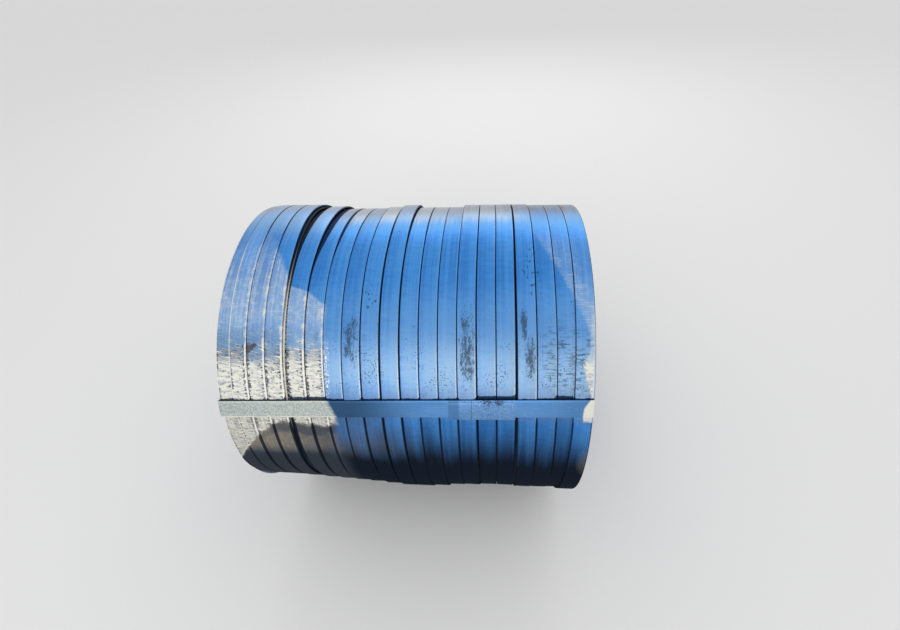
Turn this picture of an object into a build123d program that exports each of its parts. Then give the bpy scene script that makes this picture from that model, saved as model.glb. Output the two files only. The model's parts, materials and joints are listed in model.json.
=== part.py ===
"""Coil of galvanised grounding strip, lying on its side and bound with flat steel straps."""

import os
from math import cos, radians, sin

from build123d import *

# Strip and winding, in millimetres
STRIP_WIDTH = 40.0
STRIP_THICKNESS = 4.0
TURNS = 20              # turns side by side in one layer
LAYERS = 20             # layers from the bore outwards
BORE_RADIUS = 305.0
TURN_GAP = 0.2          # between neighbouring turns
WIDE_GAP = 2.0          # where a turn has drawn away from the one on its left
LAYER_GAP = 0.05        # between layers
WIDE_SEAMS = (4, 9, 14, 16)         # turns with a wide gap on their left
HIGH_TURNS = (0, 1, 2, 3, 7, 13, 16)    # outer turns that stand proud and carry the straps
LOW_TURNS = (4, 5, 14, 15, 18)      # outer turns that are drawn in tighter
TURN_LIFT = 2.5         # how far a high or low turn is off the rest
TURN_STEP = 2.0         # every other turn rides this much higher
END_BANDS = 5           # bands of layers on each end, which stand in and out by turns
END_STAGGER = 2.0       # how far a band is set in

# Straps
STRAP_WIDTH = 40.0
STRAP_THICKNESS = 1.0
STRAP_SEAT = 0.2        # clearance between a strap and the coil
STRAP_BEND = 2.0        # inside radius of the bends at the coil's outer edges
LAP_LENGTH = 140.0      # the lapped and welded ends
LAP_CENTRE = 176.0      # along the coil from its middle
LAP_SHIFT = 5.0         # the upper end lies this much lower than the one under it
FRONT_ANGLE = 29.4      # places of the straps round the coil, in degrees up from its front
REAR_ANGLE = 150.0
BOTTOM_ANGLE = 270.0
FRONT_SKEW = 1.75       # degrees by which the front strap climbs to the right

# Worked out from the sizes above
WALL = LAYERS * (STRIP_THICKNESS + LAYER_GAP)
OUTER_RADIUS = BORE_RADIUS + WALL
SEAM_GAPS = [WIDE_GAP if turn in WIDE_SEAMS else TURN_GAP for turn in range(1, TURNS)]
COIL_LENGTH = TURNS * STRIP_WIDTH + sum(SEAM_GAPS)


def turn_radius(turn):
    """Radius of an outer turn, counted from the left."""
    lift = TURN_LIFT * ((turn in HIGH_TURNS) - (turn in LOW_TURNS))
    return OUTER_RADIUS + lift + TURN_STEP * (turn % 2 - 0.5)


SEAT_RADIUS = max(turn_radius(turn) for turn in range(TURNS)) + STRAP_SEAT
AXIS_HEIGHT = SEAT_RADIUS + 2 * STRAP_THICKNESS     # the coil lies on its lowest strap and that strap's lap
COIL_AXIS = Axis((0, 0, AXIS_HEIGHT), (1, 0, 0))


def outer_outline():
    """Points along the outer turns, two for each turn, from the left end to the right one."""
    points = []
    left = -COIL_LENGTH / 2
    for turn, gap in enumerate([*SEAM_GAPS, 0]):
        right = left + STRIP_WIDTH
        points += [(left, turn_radius(turn)), (right, turn_radius(turn))]
        left = right + gap
    return points


def end_outline(side, outer_turn):
    """Points down one end, two for each band of layers, from an end's outer turn to the bore."""
    points = []
    radius = turn_radius(outer_turn)
    for band in range(END_BANDS):
        x = side * (COIL_LENGTH / 2 - END_STAGGER * (band % 2 == 0))
        inner = OUTER_RADIUS - WALL * (band + 1) / END_BANDS
        points += [(x, radius), (x, inner)]
        radius = inner
    return points


# The wound strip: one turned solid, with its turns on the outside and its layers on both ends
right_end = end_outline(1, TURNS - 1)
left_end = end_outline(-1, 0)

with BuildPart() as wound_strip:
    with BuildSketch(Plane(COIL_AXIS.position, x_dir=(1, 0, 0), z_dir=(0, -1, 0))):
        with BuildLine():
            Polyline(*outer_outline()[1:-1], *right_end, *reversed(left_end), close=True)
        make_face()
    revolve(axis=COIL_AXIS)

wound_strip.part.label = "wound_strip"


def make_strap(label, angle, skew=0.0):
    """A closed band round the coil's wall: flat outside and at the ends, curved to the bore inside."""
    up, out = sin(radians(angle)), -cos(radians(angle))
    section_plane = Plane(COIL_AXIS.position, x_dir=(1, 0, 0), z_dir=(0, -up, out))
    along = (cos(radians(skew)), sin(radians(skew)) * up, -sin(radians(skew)) * out)
    face_plane = Plane(COIL_AXIS.position, x_dir=along, z_dir=(0, out, up))

    bore_face = BORE_RADIUS - STRAP_SEAT
    inside = (COIL_LENGTH + 2 * STRAP_SEAT, SEAT_RADIUS - bore_face)
    outside = (inside[0] + 2 * STRAP_THICKNESS, inside[1] + 2 * STRAP_THICKNESS)
    mid_wall = (bore_face + SEAT_RADIUS) / 2
    overlap = STRAP_WIDTH / 4           # of the flat and the curved half, on the coil's ends

    with BuildPart() as strap:
        # The bore half follows the bore's curve and is folded sharply over its edges
        with BuildSketch(section_plane):
            with Locations((0, mid_wall)):
                Rectangle(*outside)
                Rectangle(*inside, mode=Mode.SUBTRACT)
                Rectangle(2 * outside[0], outside[1], align=(Align.CENTER, Align.MIN), mode=Mode.SUBTRACT)
        revolve(axis=COIL_AXIS)
        # The outer half is flat and is bent over the coil's outer edges
        with BuildSketch(section_plane):
            with Locations((0, mid_wall)):
                RectangleRounded(*outside, STRAP_BEND + STRAP_THICKNESS)
                RectangleRounded(*inside, STRAP_BEND, mode=Mode.SUBTRACT)
            with Locations((0, mid_wall - overlap)):
                Rectangle(2 * outside[0], outside[1], align=(Align.CENTER, Align.MAX), mode=Mode.SUBTRACT)
        extrude(amount=STRAP_WIDTH, both=True)
        # One band of the strap's width is kept
        with BuildSketch(face_plane):
            Rectangle(2 * outside[0], STRAP_WIDTH)
        extrude(amount=SEAT_RADIUS + 2 * STRAP_THICKNESS, mode=Mode.INTERSECT)
        # The strap's upper end, lapped over the other one
        with BuildSketch(face_plane.offset(SEAT_RADIUS + STRAP_THICKNESS)):
            with Locations((LAP_CENTRE, -LAP_SHIFT)):
                Rectangle(LAP_LENGTH, STRAP_WIDTH)
        extrude(amount=STRAP_THICKNESS)

    strap.part.label = label
    return strap


strap_front = make_strap("strap_front", FRONT_ANGLE, FRONT_SKEW)
strap_rear = make_strap("strap_rear", REAR_ANGLE)
strap_bottom = make_strap("strap_bottom", BOTTOM_ANGLE)

os.makedirs("parts", exist_ok=True)
for piece in (wound_strip, strap_front, strap_rear, strap_bottom):
    export_step(piece.part, f"parts/{piece.part.label}.step")
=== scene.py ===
"""Looks of a coil of galvanised grounding strip: helical turns, layered ends, lapped straps and finishes,
with the sky's reflection, sunlight, highlights and shade painted into their colours.

Lengths are in metres. The coil's axis runs along +X. Angles go round the axis in degrees: 0 is the front,
90 the top and 180 the back.
"""

import json
import math

import bpy
from bpy.props import FloatProperty, FloatVectorProperty, IntProperty, PointerProperty
from mathutils import Matrix, Vector, noise


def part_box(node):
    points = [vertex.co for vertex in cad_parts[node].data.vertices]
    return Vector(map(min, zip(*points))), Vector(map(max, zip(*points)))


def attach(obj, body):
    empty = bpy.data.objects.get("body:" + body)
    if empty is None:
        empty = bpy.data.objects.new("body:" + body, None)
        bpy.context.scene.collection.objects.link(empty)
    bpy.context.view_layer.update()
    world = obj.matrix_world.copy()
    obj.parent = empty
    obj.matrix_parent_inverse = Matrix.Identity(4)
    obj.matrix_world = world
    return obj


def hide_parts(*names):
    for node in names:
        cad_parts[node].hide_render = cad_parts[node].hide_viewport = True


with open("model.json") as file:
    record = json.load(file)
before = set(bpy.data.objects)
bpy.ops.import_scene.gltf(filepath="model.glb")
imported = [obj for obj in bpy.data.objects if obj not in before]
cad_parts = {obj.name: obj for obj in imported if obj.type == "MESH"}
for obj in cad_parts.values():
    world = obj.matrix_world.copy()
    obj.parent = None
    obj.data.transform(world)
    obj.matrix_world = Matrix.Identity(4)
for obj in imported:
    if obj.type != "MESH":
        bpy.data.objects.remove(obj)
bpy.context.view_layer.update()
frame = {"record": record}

bl_info = {
    "name": "Coil of grounding strip",
    "version": (1, 0, 0),
    "blender": (4, 5, 0),
    "location": "3D View > Sidebar > Coil",
    "description": "Dresses the coil: wound strip, binding straps and a plain studio",
    "category": "Object",
}

COIL_LOW, COIL_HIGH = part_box("wound_strip")
BORE = next(mount for mount in frame["record"]["mounts"] if mount["name"] == "bore")
AXIS_HEIGHT = BORE["pos_m"][2]
BORE_RADIUS = BORE["dims"]["r_mm"] / 1000
REACH = (COIL_HIGH[2] - COIL_LOW[2]) / 2        # of the coil's highest turns
HALF_LENGTH = (COIL_HIGH[0] - COIL_LOW[0]) / 2
MM = 0.001

# How the outer turns lie, counted from the left
START_ANGLE = 309.0             # the strip climbs to the outer layer here, under the coil
STRAP_PASS = 28.0               # it passes the front strap here
RAISED_TURNS = (7, 13, 16)      # touch the front strap
SUNK_TURNS = (4, 5, 14, 15, 18)     # leave a gap under it
SLACK_END = 4                   # turns before this one stand off at the top
RINGS = 120                     # steps round the coil

# How far the turns are out of line, in millimetres
WIDE_GAPS = {4: 8.5, 5: 1.2, 9: 2.6, 10: 1.8, 14: 1.5, 16: 3.6}      # on the left of a turn
TOP_LEVELS = ((4, 8.0), (5, 3.0), (8, -3.8), (9, 0.0), (10, 4.0), (13, -3.0), (17, 2.5), (20, 0.0))
FIRST_SHIFT = 3.0               # from the left end to the second turn's start
COMMON_DEPTH = 2.4              # a plain turn lies this far below the highest ones
RAISE, SINK = 1.6, 2.6          # at the front strap
LEAN_LEFT = 6.0                 # of the slack turns at the top
LEAN_RIGHT, LEAN_STEP = 13.0, 0.70      # of the next turn, and less for each one after it
LAST_CLIMB, LAST_PRESS = 4.1, 2.6       # of the last turn on its neighbour, and how much less at the front
SIDE_WANDER, LEVEL_WANDER = 0.3, 0.35
BELLY_DROP = 9.0

# Where round the coil they are out of line: the middle and half the width of a stretch, in degrees
TOP_LEAN = (118, 58)
TOP_LIFT = (122, 45)
FRONT_SEAT = (20, 75)
BELLY_STRETCH = (-24, 30)
PEEK_STRETCH = (70, 115)        # the edge of the turn below shows in the wide gap
END_RECESS = (80, 60)           # the inner layers stand back at the right end

# The straps
FRONT_ANGLE = 29.4              # degrees from the coil's front to the front strap
FRONT_SKEW = 1.75               # degrees by which it climbs to the right
WELDS = ((0.186, 0.8), (0.215, 0.9))    # metres along the coil to each weld of a lap, and its relative size

# Oval marks: place along the coil, angle, half length and half angle. Lengths are shares of its radius.
SMUDGES = ((-0.262, 51.5, 0.064, 12), (0.372, 49, 0.070, 19), (0.672, 57, 0.032, 9), (0.70, 46.5, 0.068, 9))
FAINT_SMUDGES = ((-0.12, 58, 0.03, 8), (-0.46, 48, 0.03, 8))
DROPS = ((0.71, 76, 0.05, 12), (-0.16, 66, 0.045, 7))
RUST_MARK = (-0.845, 48.6, 0.075, 2.6)
DARK_TURN = (-0.13, 20, 0.12, 14)
MUD = (1.08, 9, 0.10, 10)
WELD_SOOT = ((0.478, 32.7, 0.046, 2.6), (0.545, 32.7, 0.046, 2.6))
# The same for the turns that the front strap leaves clear, and those that it touches
CLEAR_TURNS = ((-0.53, 33, 0.13, 40), (0.53, 33, 0.12, 40), (0.885, 33, 0.05, 40))
TOUCHED_TURNS = ((-0.27, 33, 0.055, 40), (0.385, 33, 0.052, 40), (0.69, 33, 0.06, 40))


def length_property(name, description, default):
    """A length that a user may change."""
    return FloatProperty(name=name, description=description, default=default, unit="LENGTH")


def angle_property(name, description, degrees):
    """An angle that a user may change."""
    return FloatProperty(name=name, description=description, default=math.radians(degrees), subtype="ANGLE")


def colour_property(name, description, red, green, blue):
    """A colour that a user may change."""
    return FloatVectorProperty(
        name=name, description=description, default=(red, green, blue, 1), subtype="COLOR", size=4)


class CoilSizes(bpy.types.PropertyGroup):
    """Sizes of the strip and its straps."""

    turns: IntProperty(name="Turns", description="Turns side by side in the outer layer", default=20)
    layers: IntProperty(name="Layers", description="Layers from the bore to the outside", default=20)
    strip_width: length_property("Strip width", "Width of the wound strip", 0.040)
    strip_thickness: length_property("Strip thickness", "Thickness of the wound strip", 0.004)
    layer_pitch: length_property("Layer pitch", "From one layer to the next", 0.00405)
    turn_gap: length_property("Turn gap", "Usual gap between neighbouring turns", 0.0003)
    edge_width: length_property("Edge width", "How wide the strip's rolled edge is rounded", 0.0020)
    edge_drop: length_property("Edge drop", "How deep the strip's rolled edge is rounded", 0.0011)
    strap_width: length_property("Strap width", "Width of a binding strap", 0.040)
    strap_thickness: length_property("Strap thickness", "Thickness of a binding strap", 0.001)
    strap_seat: length_property("Strap seat", "Clearance between a strap and the coil", 0.0002)
    outer_bend: length_property("Outer bend", "Inside radius of a strap's bends at the outer edges", 0.0020)
    inner_bend: length_property("Inner bend", "Inside radius of a strap's bends at the bore", 0.0006)
    strap_chamfer: length_property("Strap chamfer", "Width of the bevel on a strap's edges", 0.00022)
    lap_length: length_property("Lap length", "Length of a strap's lapped ends", 0.140)
    lap_centre: length_property("Lap centre", "Middle of the lap along the coil", 0.176)
    lap_shift: length_property("Lap shift", "How far the upper end lies below the other one", 0.005)
    front_angle: angle_property("Front strap angle", "Place of the front strap round the coil", FRONT_ANGLE)
    rear_angle: angle_property("Rear strap angle", "Place of the rear strap round the coil", 150)
    bottom_angle: angle_property("Bottom strap angle", "Place of the bottom strap round the coil", 270)
    front_skew: angle_property("Front strap skew", "Climb of the front strap to the right", FRONT_SKEW)


class CoilColours(bpy.types.PropertyGroup):
    """Colours of the finishes."""

    # Painted reflection: the blues of the strip stand for the sky reflected in grey zinc
    bright_sky_reflection: colour_property("Bright zinc", "Lightest blue of the strip", 0.085, 0.360, 0.880)
    deep_sky_reflection: colour_property("Deep zinc", "Darkest blue of the strip", 0.036, 0.215, 0.640)
    # Painted reflection of the sky near the crest
    crest_sky_reflection: colour_property("Upper zinc", "Strip near the coil's crest", 0.098, 0.312, 0.610)
    # Painted highlight on the slack turns at the crest
    crest_highlight: colour_property("Crest zinc", "Slack turns near the coil's crest", 0.400, 0.650, 1.000)
    # Dust with a painted sheen, above the front strap
    dust_and_sheen: colour_property("Dusty zinc", "Strip under dust, above the front strap", 0.275, 0.460, 0.690)
    # Painted sunlight with scuffs in it: pale, chalky between, and brightest on the scratches; the pale one
    # also paints reflection at the crest
    pale_lit_zinc: colour_property("Scuffed zinc", "Strip that is rubbed pale", 0.920, 0.900, 0.780)
    chalky_lit_zinc: colour_property("Chalky zinc", "Between the rubbed places", 0.500, 0.530, 0.570)
    sunlit_bare_metal: colour_property("Bare metal", "Brightest lines among the scuffs", 0.970, 0.955, 0.870)
    # Painted highlights on the edges and in the sunlight, and real scratches on the strap
    wear_and_highlight: colour_property("Rubbed edge", "Bright rolled edges of the strip", 0.620, 0.760, 0.900)
    edge_steel: colour_property("Strip edges", "On the coil's ends and in its bore", 0.230, 0.345, 0.500)
    # Dirt and painted shade: dark in the gaps and towards the ground
    grime_and_shade: colour_property("Grime", "Dirt near the ground and in the gaps", 0.006, 0.010, 0.019)
    seam_shade: colour_property("Seam shade", "Deep blue in the seams and at the straps", 0.003, 0.018, 0.060)
    # Earth and dust, and the brown painted reflection of the ground low on the left
    earth_and_ground_reflection: colour_property("Earth", "Brown dirt low on the left", 0.330, 0.272, 0.185)
    # Painted shade below the front strap, and streaks of dirt
    thin_dirt_and_shade: colour_property("Thin dirt", "Film of dirt below the front strap", 0.065, 0.075, 0.090)
    scale_marks: colour_property("Dark marks", "Smudges and specks on the strip", 0.030, 0.058, 0.100)
    # Rust for the mark on the left; at the crest the same colour paints a reflection
    rust: colour_property("Rust", "Brown mark on the left and stains at the crest", 0.080, 0.040, 0.028)
    # A beige painted reflection behind the crest
    beige_crest_reflection: colour_property("Bleached dust", "Dry dust behind the coil's crest", 0.560, 0.500, 0.430)
    # Painted reflection: the straps' blue stands for the sky reflected in their zinc
    strap_sky_reflection: colour_property("Strap", "Binding straps", 0.140, 0.330, 0.640)
    # Painted sunlight on the front strap's left end
    strap_sunlit: colour_property("Pale strap", "Bare left end of the front strap", 0.470, 0.550, 0.530)
    # Painted shade, on the front strap and among the painted sunlight on the strip
    strap_shade: colour_property("Shaded strap", "Dull part of the front strap", 0.018, 0.058, 0.130)
    burnt: colour_property("Burnt steel", "Round the strap's welds", 0.020, 0.035, 0.062)


class CoilStage(bpy.types.PropertyGroup):
    """Floor, light and camera."""

    floor: colour_property("Floor", "Colour of the floor", 0.90, 0.90, 0.90)
    sky: FloatProperty(name="Sky", description="Strength of the white light from all round", default=0.75)
    lamp_power: FloatProperty(
        name="Lamp power", description="Power of each soft box", default=16, unit="POWER")
    lens: FloatProperty(
        name="Lens", description="Focal length on a 36 mm wide sensor, in millimetres", default=18.2)
    camera_place: FloatVectorProperty(
        name="Camera place", description="Where the camera stands", subtype="TRANSLATION",
        default=(0.1913, -0.8342, 1.4287))
    camera_turn: FloatVectorProperty(
        name="Camera turn", description="How the camera is turned", subtype="EULER",
        default=(math.radians(42.333), math.radians(3.385), math.radians(3.728)))


# Shapes


def start_clean():
    """Leaves edit mode and deselects everything."""
    if bpy.context.object and bpy.context.object.mode != "OBJECT":
        bpy.ops.object.mode_set(mode="OBJECT")
    bpy.ops.object.select_all(action="DESELECT")


def pick(*objects):
    """Selects only these objects and makes the first one active."""
    start_clean()
    for obj in objects:
        obj.select_set(True)
    bpy.context.view_layer.objects.active = objects[0]


def begin(name, primitive, **settings):
    """Adds a primitive to start a piece from, and names it."""
    start_clean()
    primitive(**settings)
    obj = bpy.context.object
    obj.name = obj.data.name = name
    return obj


def edit(obj, *steps):
    """Runs edit mode operators, given as (operator, settings), on the whole of one mesh."""
    pick(obj)
    bpy.ops.object.mode_set(mode="EDIT")
    bpy.ops.mesh.select_mode(type="VERT")
    bpy.ops.mesh.select_all(action="SELECT")
    for operator, settings in steps:
        operator(**settings)
    bpy.ops.object.mode_set(mode="OBJECT")


def modify(obj, kind, **settings):
    """Adds a modifier and applies it."""
    pick(obj)
    modifier = obj.modifiers.new(kind.title(), kind)
    for key, value in settings.items():
        setattr(modifier, key, value)
    bpy.ops.object.modifier_apply(modifier=modifier.name)


def bump(value, centre, half):
    """A smooth hump: 1 at the centre and 0 from half a width away."""
    away = abs(value - centre) / half
    return 0.5 + 0.5 * math.cos(math.pi * away) if away < 1 else 0.0


def ease(value, low, high):
    """A smooth step from 0 at low to 1 at high."""
    t = min(max((value - low) / (high - low), 0), 1)
    return t * t * (3 - 2 * t)


def wander(value, seed):
    """A slow, repeatable wander between about -1 and 1."""
    return noise.noise(Vector((value, seed * 7.31, seed * 3.7)))


def round_axis(x, radius, angle):
    """The point at a place along the axis, a radius and an angle in degrees."""
    a = math.radians(angle)
    return Vector((x, -radius * math.cos(a), AXIS_HEIGHT + radius * math.sin(a)))


def screwed(name, outline, turns):
    """A closed outline, as (x, y) points, screwed round the axis."""
    obj = begin(name, bpy.ops.mesh.primitive_circle_add, vertices=len(outline), radius=0.01)
    for vertex, (x, y) in zip(obj.data.vertices, outline):
        vertex.co = (x, y, BORE_RADIUS)
    modify(obj, "SCREW", axis="X", angle=math.tau, screw_offset=0, iterations=turns, steps=RINGS,
           render_steps=RINGS, use_merge_vertices=False, use_smooth_shade=True)
    return obj


def lay(obj, size, place):
    """Places a screwed outline of so many points by place(ring, point).

    That gives each vertex and its UVs, which are metres along and across the strip.
    """
    flat = {}
    for index, vertex in enumerate(obj.data.vertices):
        vertex.co, flat[index] = place(index // size, index % size)
    strip_uv = obj.data.uv_layers.new(name="strip")
    for loop in obj.data.loops:
        strip_uv.data[loop.index].uv = flat[loop.vertex_index]


def close_mesh(obj, smooth):
    """Closes seams and open ends, turns the faces outwards and smooths the edges under an angle."""
    edit(obj,
         (bpy.ops.mesh.remove_doubles, {"threshold": 1e-6}),
         (bpy.ops.mesh.select_all, {"action": "DESELECT"}),
         (bpy.ops.mesh.select_non_manifold, {"extend": False}),
         (bpy.ops.mesh.fill_holes, {"sides": 0}),
         (bpy.ops.mesh.select_all, {"action": "SELECT"}),
         (bpy.ops.mesh.normals_make_consistent, {"inside": False}))
    pick(obj)
    bpy.ops.object.shade_smooth_by_angle(angle=math.radians(smooth))


def top_level(turn):
    """Millimetres that a turn stands off, or is drawn in, behind the coil's top."""
    return next(level for before, level in TOP_LEVELS if turn < before)


def belly(x):
    """Millimetres by which the lower front is drawn in at the left end and hangs out near the middle."""
    share = x / REACH
    return BELLY_DROP * (bump(share, 0.03, 0.38) - 1 + ease(share, -0.85, -0.35))


def strip_place(sizes, turn, angle):
    """Left edge and outer radius of the outer strip, for a turn counted with its fraction, at its angle."""
    full = int(turn)
    width = sizes.strip_width
    front_turn = turn - (START_ANGLE - STRAP_PASS) / 360        # whole where the turn passes the front strap
    seams = math.floor(front_turn) + 1
    # Gaps open slowly, from one pass of the front strap to the next
    gaps = [WIDE_GAPS.get(k, sizes.turn_gap / MM) * MM for k in range(1, sizes.turns)]
    current = gaps[min(seams, len(gaps)) - 1] if seams > 0 else 0
    opened = sum(gaps[:max(seams - 1, 0)]) + current * (front_turn - math.floor(front_turn))
    x = -HALF_LENGTH + FIRST_SHIFT * MM * min(turn, 1) + width * max(turn - 1, 0) + opened
    lean = bump(angle, *TOP_LEAN)
    if full >= SLACK_END:
        x += lean * (LEAN_RIGHT - LEAN_STEP * (full - SLACK_END)) * MM
    elif full > 0:
        x -= lean * LEAN_LEFT * MM
    x += SIDE_WANDER * MM * wander(turn * 3.1, 1) * (turn > 1)
    # The last turn stops at the end and climbs on its neighbour
    over = max(x - (HALF_LENGTH - width), 0)
    x -= over

    front = bump(angle, *FRONT_SEAT)
    level = (LAST_CLIMB - LAST_PRESS * front) * ease(over, 0, 2 * MM)
    if full in RAISED_TURNS:
        level += RAISE * front
    if full in SUNK_TURNS:
        level -= SINK * front
    level += top_level(full) * bump(angle, *TOP_LIFT)
    level += belly(x + width / 2) * bump(angle, *BELLY_STRETCH)
    level -= sizes.strip_thickness / MM * max(1 - turn, 0)      # the first turn climbs from the layer below
    level += LEVEL_WANDER * wander(turn * 4.3, 2)
    return x, REACH - COMMON_DEPTH * MM + level * MM


def wind_outer_strip(sizes):
    """The outer layer: one strip in a slow helix."""
    half_width, thickness = sizes.strip_width / 2, sizes.strip_thickness
    wide, drop = sizes.edge_width, sizes.edge_drop
    corners = ((1, 1), (-1, 1), (-1, -1), (1, -1))
    section = []
    for quarter, (side, face) in enumerate(corners):
        for step in range(4):
            a = math.radians(90 * quarter + 30 * step)
            section.append((side * (half_width - wide) + wide * math.cos(a),
                            face * (thickness / 2 - drop) + drop * math.sin(a)))
    obj = screwed("outer_strip", section, sizes.turns)

    def place(ring, point):
        turn = ring / RINGS
        angle = START_ANGLE - 360 * (turn - min(int(turn), sizes.turns - 1))
        left, radius = strip_place(sizes, min(turn, sizes.turns - 1e-6), angle)
        across, depth = section[point]
        tilt = 0.024 * wander(turn * 2.3, 3) * across
        where = round_axis(left + half_width + across, radius - thickness / 2 + depth + tilt, angle)
        return where, (turn * math.tau * REACH, across)

    lay(obj, len(section), place)
    close_mesh(obj, 40)
    return obj


def wind_under_strip(sizes):
    """One turn of the layer below, whose edge shows in the wide gap beside the slack turns."""
    half_width, thickness = sizes.strip_width / 2, sizes.strip_thickness
    section = [(half_width, -thickness / 2), (half_width, thickness / 2 - sizes.edge_drop),
               (half_width - sizes.edge_width * 0.4, thickness / 2 - sizes.edge_drop * 0.2),
               (half_width - sizes.edge_width, thickness / 2),
               (-half_width, thickness / 2), (-half_width, -thickness / 2)]
    obj = screwed("under_strip", section, 1)

    def place(ring, point):
        angle = START_ANGLE - 360 * ring / RINGS
        turn = SLACK_END - 1 + ring / RINGS * 0.999         # stays short of the next turn
        left, radius = strip_place(sizes, turn, angle)
        across, depth = section[point]
        peek = (4.0 + 4.5 * bump(angle, *TOP_LEAN)) * MM * bump(angle, *PEEK_STRETCH)
        drop = (1.05 + 0.35 * bump(angle, *TOP_LIFT)) * thickness
        where = round_axis(left + half_width + across + peek, radius - drop - thickness / 2 + depth, angle)
        return where, (turn * math.tau * REACH + 0.7, across)

    lay(obj, len(section), place)
    close_mesh(obj, 40)
    return obj


def wind_inner_layers(sizes):
    """The layers below the outer one: a turned body with strip edges on its ends and turns in its bore."""
    count = sizes.layers - 1
    pitch = sizes.layer_pitch
    outer = BORE_RADIUS + count * pitch
    groove = 0.8 * MM
    # Each point of the outline is (side, depth below the end or place in the bore, radius, layer)
    edge = ((2.6, 0.0), (0.9, 0.35), (0.25, 1.0), (0.0, 1.7), (0.0, 2.35), (0.25, 3.05), (0.9, 3.7))
    right = [(1, depth * MM, BORE_RADIUS + layer * pitch + up * MM, layer)
             for layer in range(count) for depth, up in edge]
    left = [(-1, depth, radius, layer) for _, depth, radius, layer in reversed(right)]
    bore = []
    for seam in range(1, sizes.turns):
        x = -HALF_LENGTH + 2 * HALF_LENGTH * seam / sizes.turns
        bore += [(0, x - groove, BORE_RADIUS, seam), (0, x, BORE_RADIUS + 1.8 * MM, seam),
                 (0, x + groove, BORE_RADIUS, seam)]
    points = bore + right + [(1, 0.9 * MM, outer, count), (-1, 0.9 * MM, outer, count)] + left
    obj = screwed("inner_layers", [(p[2], i * MM) for i, p in enumerate(points)], 1)

    def place(ring, point):
        angle = START_ANGLE - 360 * (ring % RINGS) / RINGS
        side, depth, radius, layer = points[point]
        turn = math.radians(angle)
        if side:
            lean = Vector((math.cos(turn), math.sin(turn), side * layer * 0.83))
            stagger = (1.3 + 1.9 * noise.noise(lean * 0.7) + 0.5 * math.sin(layer * 2.4 + side)) * MM
            recess = 4 * MM * bump(angle, *END_RECESS) * (side > 0)
            x = side * (HALF_LENGTH - 0.2 * MM - depth - max(stagger, 0) - recess)
            if layer < count:
                radius += 0.25 * MM * noise.noise(lean * 1.3 + Vector((0, 0, 9)))
            else:
                radius += min(belly(x), 0) * bump(angle if angle < 180 else angle - 360, *BELLY_STRETCH) * MM
            flat = (turn * radius, radius + x)
        else:
            x = depth + 1.5 * MM * math.sin(turn + layer)
            flat = (turn * radius, x)
        return round_axis(x, max(radius, BORE_RADIUS), angle), flat

    lay(obj, len(points), place)
    close_mesh(obj, 50)
    return obj


def run_between(start, end, step=0.02):
    """Points between two ends of a straight run, without the ends."""
    count = max(int(math.dist(start, end) / step), 1)
    return [tuple(a + (b - a) * k / count for a, b in zip(start, end)) for k in range(1, count)]


def strap_loop(sizes):
    """Points (x, radius) of a strap's inner face round the coil's wall, with its bends."""
    seat = sizes.strap_seat
    reach_x, outer, inner = HALF_LENGTH + seat, REACH + seat, BORE_RADIUS - seat
    bends = ((reach_x, outer, sizes.outer_bend, 0), (-reach_x, outer, sizes.outer_bend, 90),
             (-reach_x, inner, sizes.inner_bend, 180), (reach_x, inner, sizes.inner_bend, 270))
    points = []
    for x, radius, bend, start in bends:
        centre_x = x - math.copysign(bend, x)
        centre_radius = radius - math.copysign(bend, radius - (inner + outer) / 2)
        steps = [math.radians(start + 22.5 * k) for k in range(5)]
        arc = [(centre_x + bend * math.cos(a), centre_radius + bend * math.sin(a)) for a in steps]
        if points:
            points += run_between(points[-1], arc[0])
        points += arc
    return points + run_between(points[-1], points[0]) + points[:1]


def bevel_edges(obj, sizes):
    """Takes the sharpness off a strap's edges."""
    modify(obj, "BEVEL", width=sizes.strap_chamfer, segments=2, limit_method="ANGLE",
           angle_limit=math.radians(50))


def bend_strap(name, sizes):
    """A closed band at angle 90, straight along the coil and bent round its wall."""
    loop = strap_loop(sizes)
    runs = len(loop) - 1
    obj = begin(name, bpy.ops.mesh.primitive_grid_add, x_subdivisions=runs, y_subdivisions=6, size=1)
    mid_wall = (BORE_RADIUS + REACH) / 2
    for vertex in obj.data.vertices:
        x, radius = loop[round((vertex.co.x + 0.5) * runs)]
        across = vertex.co.y * sizes.strap_width
        if radius < mid_wall:
            radius = math.sqrt(radius ** 2 - across ** 2)
        vertex.co = (x, across, AXIS_HEIGHT + radius)
    edit(obj, (bpy.ops.mesh.remove_doubles, {"threshold": 1e-6}),
         (bpy.ops.mesh.normals_make_consistent, {"inside": False}))
    modify(obj, "SOLIDIFY", thickness=sizes.strap_thickness, offset=1, use_even_offset=True)
    bevel_edges(obj, sizes)
    return obj


def lap_plate(name, sizes):
    """The upper end of a strap, lapped over the other one, with a slight ripple."""
    obj = begin(name, bpy.ops.mesh.primitive_grid_add, x_subdivisions=28, y_subdivisions=6, size=1)
    base = AXIS_HEIGHT + REACH + sizes.strap_seat + sizes.strap_thickness
    for vertex in obj.data.vertices:
        along, across = vertex.co.x, vertex.co.y
        ripple = 0.00006 * math.sin(along * 19) + 0.00004 * math.sin(across * 7 + along * 11)
        vertex.co = (sizes.lap_centre + along * sizes.lap_length,
                     across * sizes.strap_width - sizes.lap_shift, base + ripple)
    modify(obj, "SOLIDIFY", thickness=sizes.strap_thickness * 0.85, offset=1)
    bevel_edges(obj, sizes)
    return obj


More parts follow.
